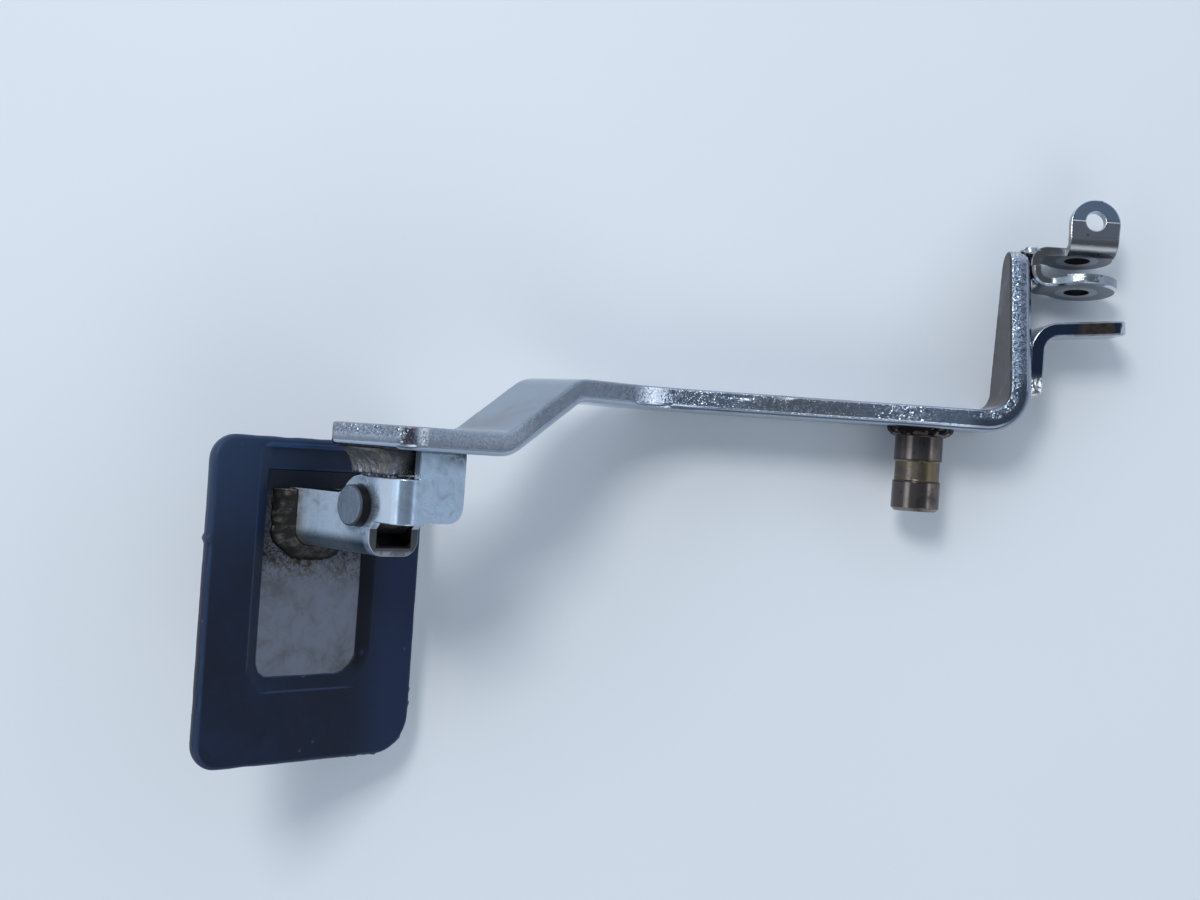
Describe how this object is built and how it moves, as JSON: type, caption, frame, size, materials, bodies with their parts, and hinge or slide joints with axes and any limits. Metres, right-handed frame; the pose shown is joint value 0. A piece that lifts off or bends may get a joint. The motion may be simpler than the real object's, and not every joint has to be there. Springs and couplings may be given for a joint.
{
  "type": "rear brake pedal",
  "caption": "Bent flat-bar motorbike rear brake pedal with a pivot shaft, a rod clevis with a spring eye, a switch tab and a rubber pad that folds up on a hinge pin.",
  "frame": {"origin": "on the pivot line, where the bearing length of the shaft starts beside the lever", "axes": "+X to the rear along the lever's straight run, +Y inboard along the pivot line, +Z towards the ground when the pedal is fitted: the pedal lies on its back as pictured"},
  "size_m": [0.2185, 0.1515, 0.0696],
  "materials": {
    "chrome": "plated over a blanked edge, worn",
    "bare_steel": "turned, greasy",
    "zinc": "satin zinc plate",
    "weld": "plated over weld bead",
    "plate": "stained, light rust",
    "rubber": "moulded, semi-matte"
  },
  "bodies": {
    "lever": {"lever_arm": "chrome", "pivot_shaft": "bare_steel", "clevis_bracket": "chrome", "clevis_weld_top": "chrome", "clevis_weld_bottom": "chrome", "switch_tab": "chrome", "hinge_lug": "chrome"},
    "pad": {"pad_bracket": "zinc", "bracket_weld": "weld", "hinge_pin": "bare_steel", "pad_plate": "plate", "rubber_pad": "rubber"}
  },
  "joints": [
    {"name": "pad_fold", "type": "hinge", "parent": "lever", "child": "pad", "pos_m": [-0.12905, -0.0253, 0.03815], "axis": [0.7071, 0, -0.7071], "range_deg": [0, 50]}
  ]
}
